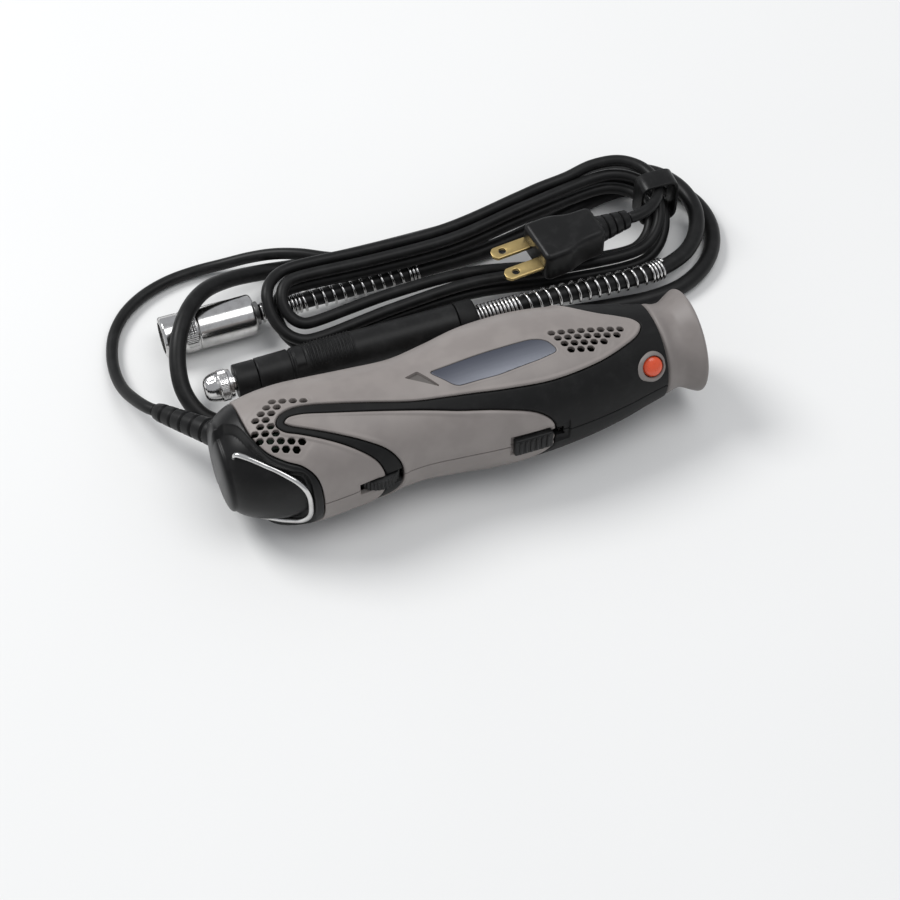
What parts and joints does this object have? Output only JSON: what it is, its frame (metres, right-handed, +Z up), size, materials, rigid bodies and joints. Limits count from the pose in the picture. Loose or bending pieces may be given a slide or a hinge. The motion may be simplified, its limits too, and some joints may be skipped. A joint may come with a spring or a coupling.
{
  "type": "rotary tool with flexible shaft",
  "caption": "Corded hand-held rotary tool lying on its side, its power cord folded in a tied hank, with a detached flexible shaft, handpiece and coupling nut.",
  "frame": {"origin": "on the surface that the pieces lie on, below the middle of the box of the tool, the handpiece and the coupling nut, without the cords", "axes": "+X along the tool's spindle to its nose, +Y from the tool to the flexible shaft, +Z up"},
  "size_m": [0.2721, 0.1569, 0.0551],
  "materials": {
    "grey_shell": "satin moulded plastic",
    "grey_trim": "satin moulded plastic",
    "soft_grip": "soft overmould, fine matt",
    "cord_jacket": "dull jacket",
    "black_plastic": "fine satin",
    "red_button": "glossy moulded plastic",
    "label_film": "silver film, bare",
    "bright_steel": "polished",
    "dark_steel": "brushed",
    "laminations": "varnished steel stack",
    "copper": "enamelled copper",
    "carbon": "pressed carbon",
    "brass": "plain",
    "board": "printed circuit board"
  },
  "bodies": {
    "housing": {"left_shell": "grey_shell", "right_shell": "grey_shell", "left_grip": "soft_grip", "right_grip": "soft_grip", "label_film": "label_film", "tail_cap": "soft_grip", "nose_collar": "grey_trim", "lock_bezel": "grey_trim", "speed_pot": "black_plastic", "switch_body": "black_plastic", "front_bearing": "dark_steel", "rear_bearing": "dark_steel", "stator": "laminations", "left_field_coil": "copper", "right_field_coil": "copper", "left_brush": "carbon", "left_brush_holder": "brass", "right_brush": "carbon", "right_brush_holder": "brass", "speed_board": "board", "strain_relief": "cord_jacket", "cord_lead": "cord_jacket", "cord_hank": "cord_jacket", "cord_tail": "cord_jacket", "plug_body": "cord_jacket", "plug_blade_near": "brass", "plug_blade_far": "brass", "cord_strap": "black_plastic", "flex_sheath": "cord_jacket", "front_spring": "bright_steel", "rear_spring": "bright_steel", "hand_grip": "black_plastic", "hand_front_cap": "black_plastic", "hand_rear_ring": "soft_grip", "hand_front_bearing": "dark_steel", "hand_rear_bearing": "dark_steel", "coupling_ferrule": "dark_steel"},
    "rotor": {"spindle": "bright_steel", "collet": "bright_steel", "collet_nut": "dark_steel", "armature_core": "laminations", "rear_winding": "copper", "front_winding": "copper", "commutator": "copper", "fan": "black_plastic"},
    "lock": {"lock_button": "red_button"},
    "switch": {"switch_slider": "black_plastic"},
    "dial": {"speed_dial": "black_plastic"},
    "bail": {"hanging_bail": "bright_steel"},
    "hand_rotor": {"hand_spindle": "bright_steel", "hand_nut": "bright_steel"},
    "core": {"drive_core": "dark_steel"},
    "coupling": {"coupling_nut": "bright_steel"}
  },
  "joints": [
    {"name": "spindle_spin", "type": "hinge", "parent": "housing", "child": "rotor", "pos_m": [0.0225, -0.03343, 0.02756], "axis": [1, 0, 0], "continuous": true},
    {"name": "lock_press", "type": "slide", "parent": "housing", "child": "lock", "axis": [0, 0.8192, -0.5736], "range_m": [0, 0.002], "stiffness_N_per_m": 500, "springref_m": -0.002},
    {"name": "switch_slide", "type": "slide", "parent": "housing", "child": "switch", "axis": [1, 0, 0], "range_m": [0, 0.007]},
    {"name": "speed_turn", "type": "hinge", "parent": "housing", "child": "dial", "pos_m": [-0.0405, -0.0529, 0.02756], "axis": [0, 0, 1], "range_deg": [-135, 135]},
    {"name": "bail_swing", "type": "hinge", "parent": "housing", "child": "bail", "pos_m": [-0.091, -0.04143, 0.02756], "axis": [0, 0, -1], "range_deg": [0, 137]},
    {"name": "hand_spin", "type": "hinge", "parent": "housing", "child": "hand_rotor", "pos_m": [-0.0275, 0.01657, 0.01535], "axis": [1, 0, 0], "continuous": true},
    {"name": "core_spin", "type": "hinge", "parent": "housing", "child": "core", "pos_m": [-0.0775, 0.05457, 0.00885], "axis": [1, 0, 0], "continuous": true},
    {"name": "nut_spin", "type": "hinge", "parent": "housing", "child": "coupling", "pos_m": [-0.0775, 0.05457, 0.00885], "axis": [1, 0, 0], "continuous": true}
  ],
  "couplings": [
    {"joint": "core_spin", "follows": "hand_spin", "ratio": -1}
  ]
}
